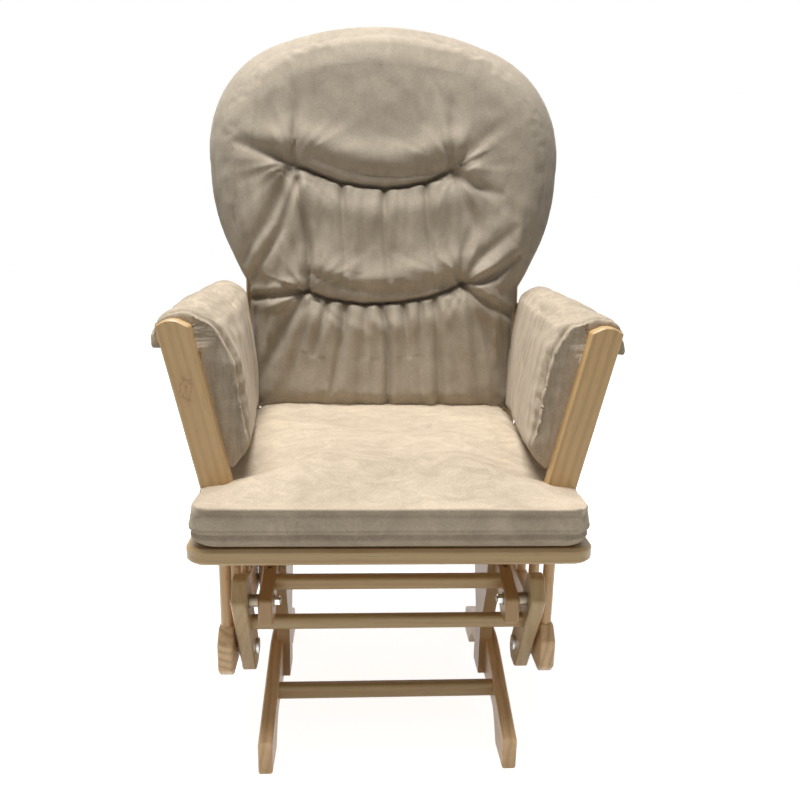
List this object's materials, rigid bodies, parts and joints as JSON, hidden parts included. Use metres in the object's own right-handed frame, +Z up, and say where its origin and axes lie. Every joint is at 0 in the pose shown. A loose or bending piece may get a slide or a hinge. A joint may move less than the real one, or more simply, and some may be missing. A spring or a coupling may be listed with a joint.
{
  "type": "glider chair",
  "caption": "Upholstered glider chair: a cushioned seat with a tall padded back and sleeved arms on a spindle frame, hung in swing links from a fixed wooden base.",
  "frame": {"origin": "on the floor under the middle of the chair's bounding box", "axes": "+X to the right of someone who faces the chair, +Y towards its back, +Z up"},
  "size_m": [0.6366, 0.6545, 1.0717],
  "materials": {
    "light_wood": "satin clear lacquer on pale rubberwood",
    "suede_cloth": "brushed suede microfibre, taupe",
    "zinc_steel": "zinc plated steel",
    "bearing_steel": "plain steel bearing sleeves"
  },
  "bodies": {
    "base": {"foot_left": "light_wood", "foot_right": "light_wood", "centre_post_left": "light_wood", "centre_post_right": "light_wood", "hanger_left": "light_wood", "hanger_right": "light_wood", "foot_stretcher": "light_wood", "hanger_stretcher_front": "light_wood", "hanger_stretcher_rear": "light_wood", "upper_bolts_front": "zinc_steel", "upper_bolts_rear": "zinc_steel", "upper_nuts": "zinc_steel", "upper_spacers": "zinc_steel"},
    "front_links": {"front_link_left": "light_wood", "front_link_right": "light_wood", "front_link_stretcher": "light_wood", "front_link_bearings": "bearing_steel"},
    "rear_links": {"rear_link_left": "light_wood", "rear_link_right": "light_wood", "rear_link_stretcher": "light_wood", "rear_link_bearings": "bearing_steel"},
    "seat": {"lower_rail_left": "light_wood", "lower_rail_right": "light_wood", "lower_spindles_left": "light_wood", "lower_spindles_right": "light_wood", "lower_bolts_front": "zinc_steel", "lower_bolts_rear": "zinc_steel", "lower_nuts": "zinc_steel", "lower_spacers": "zinc_steel", "seat_front_board": "light_wood", "seat_back_board": "light_wood", "seat_side_board_left": "light_wood", "seat_side_board_right": "light_wood", "seat_slats": "light_wood", "arm_plank_left": "light_wood", "arm_plank_right": "light_wood", "armrest_left": "light_wood", "armrest_right": "light_wood", "arm_spindles_left": "light_wood", "arm_spindles_right": "light_wood", "back_bow": "light_wood", "back_spindles": "light_wood", "seat_cushion": "suede_cloth", "back_cushion": "suede_cloth", "arm_pad_left": "suede_cloth", "arm_pad_right": "suede_cloth"}
  },
  "joints": [
    {"name": "rear_link_swing", "type": "hinge", "parent": "base", "child": "rear_links", "pos_m": [0, 0.05055, 0.235], "axis": [1, 0, 0], "range_deg": [-12, 12]},
    {"name": "front_link_swing", "type": "hinge", "parent": "base", "child": "front_links", "pos_m": [0, -0.24545, 0.235], "axis": [1, 0, 0], "range_deg": [-12.5, 12.5]},
    {"name": "seat_pivot", "type": "hinge", "parent": "rear_links", "child": "seat", "pos_m": [0, 0.05473, 0.131], "axis": [1, 0, 0], "range_deg": [-15.6, 15.6]}
  ],
  "couplings": [
    {"joint": "front_link_swing", "follows": "rear_link_swing", "ratio": 1},
    {"joint": "seat_pivot", "follows": "rear_link_swing", "ratio": -1.2346}
  ]
}
